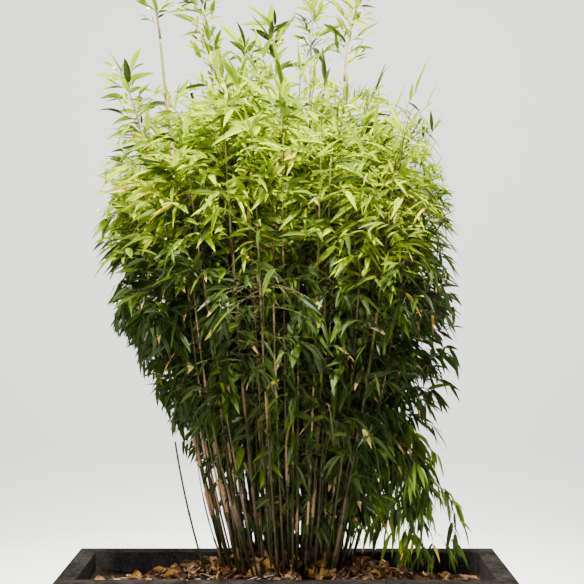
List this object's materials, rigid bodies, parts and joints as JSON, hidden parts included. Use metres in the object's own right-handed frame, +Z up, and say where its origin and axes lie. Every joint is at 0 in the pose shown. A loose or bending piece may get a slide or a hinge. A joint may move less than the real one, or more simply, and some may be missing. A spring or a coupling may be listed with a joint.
{
  "type": "potted bamboo",
  "caption": "Clump-forming bamboo with slender fanned canes and sprays of narrow drooping leaves, growing in a long straight-sided stone trough of soil.",
  "frame": {"origin": "middle of the trough's flat underside, on the ground", "axes": "+Z up the plant, +X along the trough's long side to the picture's right, +Y from the trough's front wall to its back wall"},
  "size_m": [1.4273, 1.1183, 2.4593],
  "materials": {
    "stone": "matt, fine-grained dark grey with paler worn rims",
    "soil": "matt, crumbly dark brown soil under dead leaves",
    "cane": "satin, green to straw-coloured, with papery sheaths",
    "leaf_deep": "satin, deep green",
    "leaf_mid": "satin, fresh green",
    "leaf_bright": "satin, bright yellow-green"
  },
  "bodies": {
    "root": {"cane_01": "cane", "cane_02": "cane", "cane_03": "cane", "cane_04": "cane", "cane_05": "cane", "cane_06": "cane", "cane_07": "cane", "cane_08": "cane", "cane_09": "cane", "cane_10": "cane", "cane_11": "cane", "cane_12": "cane", "cane_13": "cane", "cane_14": "cane", "cane_15": "cane", "cane_16": "cane", "cane_17": "cane", "cane_18": "cane", "cane_19": "cane", "cane_20": "cane", "cane_21": "cane", "cane_22": "cane", "cane_23": "cane", "cane_24": "cane", "cane_25": "cane", "cane_26": "cane", "cane_27": "cane", "cane_28": "cane", "canopy_leaves_1": "leaf_mid", "canopy_leaves_2": "leaf_mid", "canopy_leaves_3": "leaf_mid", "canopy_leaves_4": "leaf_mid", "crest_leaves_1": "leaf_bright", "crest_leaves_2": "leaf_bright", "crest_leaves_3": "leaf_bright", "middle_leaves_1": "leaf_deep", "middle_leaves_2": "leaf_deep", "middle_leaves_3": "leaf_deep", "middle_leaves_4": "leaf_deep", "middle_leaves_5": "leaf_deep", "middle_leaves_6": "leaf_deep", "skirt_leaves_1": "leaf_deep", "skirt_leaves_2": "leaf_deep", "skirt_leaves_3": "leaf_deep", "skirt_leaves_4": "leaf_deep", "skirt_leaves_5": "leaf_deep", "soil_and_litter": "soil", "stone_trough": "stone", "tip_leaves_1": "leaf_bright", "tip_leaves_2": "leaf_bright", "tip_leaves_3": "leaf_bright", "tip_leaves_4": "leaf_bright", "tip_leaves_5": "leaf_bright", "tip_leaves_6": "leaf_bright", "tip_leaves_7": "leaf_bright", "upper_leaves_1": "leaf_mid", "upper_leaves_2": "leaf_mid", "upper_leaves_3": "leaf_mid", "upper_leaves_4": "leaf_mid", "upper_leaves_5": "leaf_mid"}
  },
  "joints": []
}
